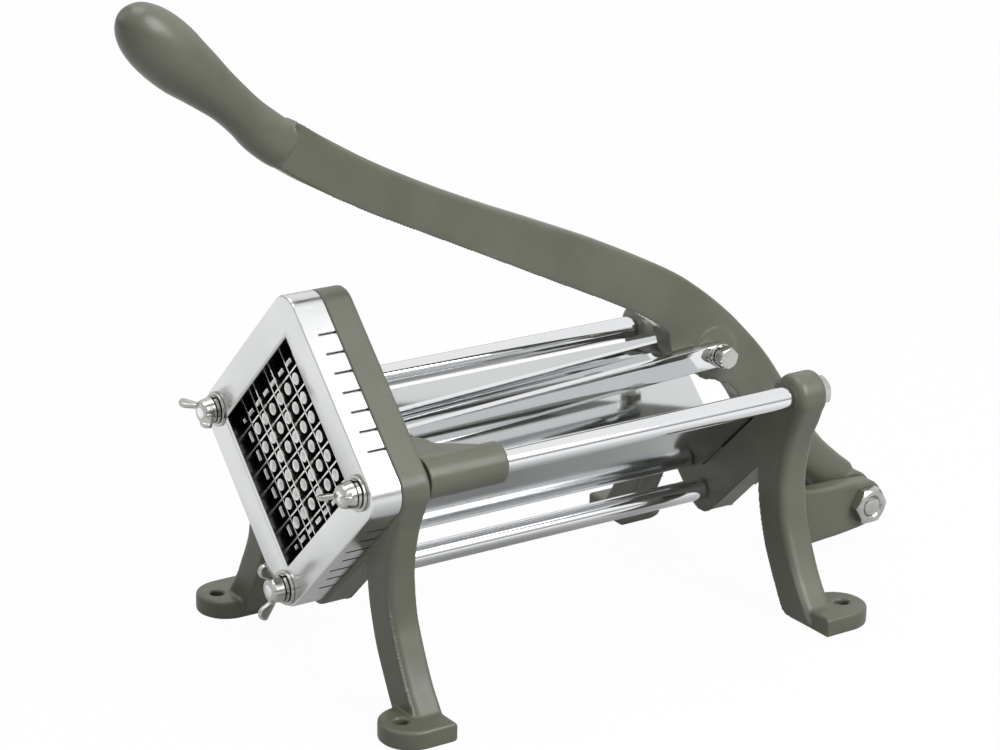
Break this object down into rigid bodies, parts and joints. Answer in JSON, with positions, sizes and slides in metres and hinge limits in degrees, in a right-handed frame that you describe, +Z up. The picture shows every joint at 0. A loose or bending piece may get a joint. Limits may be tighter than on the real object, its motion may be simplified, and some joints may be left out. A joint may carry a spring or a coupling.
{
  "type": "french fry cutter",
  "caption": "Bench-top fry cutter: a lever and links slide a pin-faced pusher along rods through a V trough, pressing a potato through a grid of crossed blades.",
  "frame": {"origin": "middle of the footprint, on the bench under the feet", "axes": "+Y runs from the blades to the lever pivot at the back, +X to the right when looking from the blades towards the pivot, +Z up"},
  "size_m": [0.1914, 0.4102, 0.3145],
  "materials": {
    "cast_enamel": "satin olive-grey enamel on cast metal",
    "machined_aluminium": "satin faces with polished sides",
    "polished_steel": "mirror-polished steel",
    "blade_steel": "ground steel strip",
    "zinc_plate": "bright zinc plate"
  },
  "bodies": {
    "base": {"front_frame": "cast_enamel", "rear_frame": "cast_enamel", "blade_block": "machined_aluminium", "trough": "polished_steel", "blade_rising_1": "blade_steel", "blade_rising_2": "blade_steel", "blade_rising_3": "blade_steel", "blade_rising_4": "blade_steel", "blade_rising_5": "blade_steel", "blade_rising_6": "blade_steel", "blade_rising_7": "blade_steel", "blade_falling_1": "blade_steel", "blade_falling_2": "blade_steel", "blade_falling_3": "blade_steel", "blade_falling_4": "blade_steel", "blade_falling_5": "blade_steel", "blade_falling_6": "blade_steel", "blade_falling_7": "blade_steel", "tie_rod_right": "polished_steel", "rear_bolt_right": "zinc_plate", "washer_right": "zinc_plate", "lock_washer_right": "zinc_plate", "tie_rod_left": "polished_steel", "rear_bolt_left": "zinc_plate", "washer_left": "zinc_plate", "lock_washer_left": "zinc_plate", "tie_rod_bottom": "polished_steel", "rear_bolt_bottom": "zinc_plate", "washer_bottom": "zinc_plate", "lock_washer_bottom": "zinc_plate", "pivot_bolt": "zinc_plate", "pivot_nut": "zinc_plate"},
    "pusher": {"pusher_carrier": "cast_enamel", "pin_plate": "machined_aluminium", "pin_plate_screw_1": "zinc_plate", "pin_plate_screw_2": "zinc_plate"},
    "lever": {"lever": "cast_enamel", "link_bolt": "zinc_plate", "link_nut": "zinc_plate", "link_washer_right": "zinc_plate", "link_lock_washer_right": "zinc_plate", "link_washer_left": "zinc_plate", "link_lock_washer_left": "zinc_plate"},
    "link_right": {"link_right": "polished_steel", "link_front_pivot_right": "zinc_plate"},
    "link_left": {"link_left": "polished_steel", "link_front_pivot_left": "zinc_plate"},
    "wing_nut_right": {"wing_nut_right": "zinc_plate"},
    "wing_nut_left": {"wing_nut_left": "zinc_plate"},
    "wing_nut_bottom": {"wing_nut_bottom": "zinc_plate"}
  },
  "joints": [
    {"name": "lever_swing", "type": "hinge", "parent": "base", "child": "lever", "pos_m": [0, 0.19193, 0.0246], "axis": [-1, 0, 0], "range_deg": [0, 70]},
    {"name": "pusher_slide", "type": "slide", "parent": "base", "child": "pusher", "axis": [0, 1, 0], "range_m": [0, 0.1471]},
    {"name": "link_right_turn", "type": "hinge", "parent": "lever", "child": "link_right", "pos_m": [0, 0.10263, 0.1155], "axis": [-1, 0, 0], "range_deg": [-78, 0]},
    {"name": "link_left_turn", "type": "hinge", "parent": "lever", "child": "link_left", "pos_m": [0, 0.10263, 0.1155], "axis": [-1, 0, 0], "range_deg": [-78, 0]},
    {"name": "wing_nut_right_turn", "type": "hinge", "parent": "base", "child": "wing_nut_right", "pos_m": [0.061, -0.13437, 0.109], "axis": [0, -1, 0], "continuous": true},
    {"name": "wing_nut_left_turn", "type": "hinge", "parent": "base", "child": "wing_nut_left", "pos_m": [-0.061, -0.13437, 0.109], "axis": [0, -1, 0], "continuous": true},
    {"name": "wing_nut_bottom_turn", "type": "hinge", "parent": "base", "child": "wing_nut_bottom", "pos_m": [0, -0.13437, 0.0437], "axis": [0, -1, 0], "continuous": true}
  ],
  "couplings": [
    {"joint": "pusher_slide", "follows": "lever_swing", "m_per_rad": 0.12039},
    {"joint": "link_right_turn", "follows": "lever_swing", "ratio": -1.1113},
    {"joint": "link_left_turn", "follows": "lever_swing", "ratio": -1.1113}
  ]
}
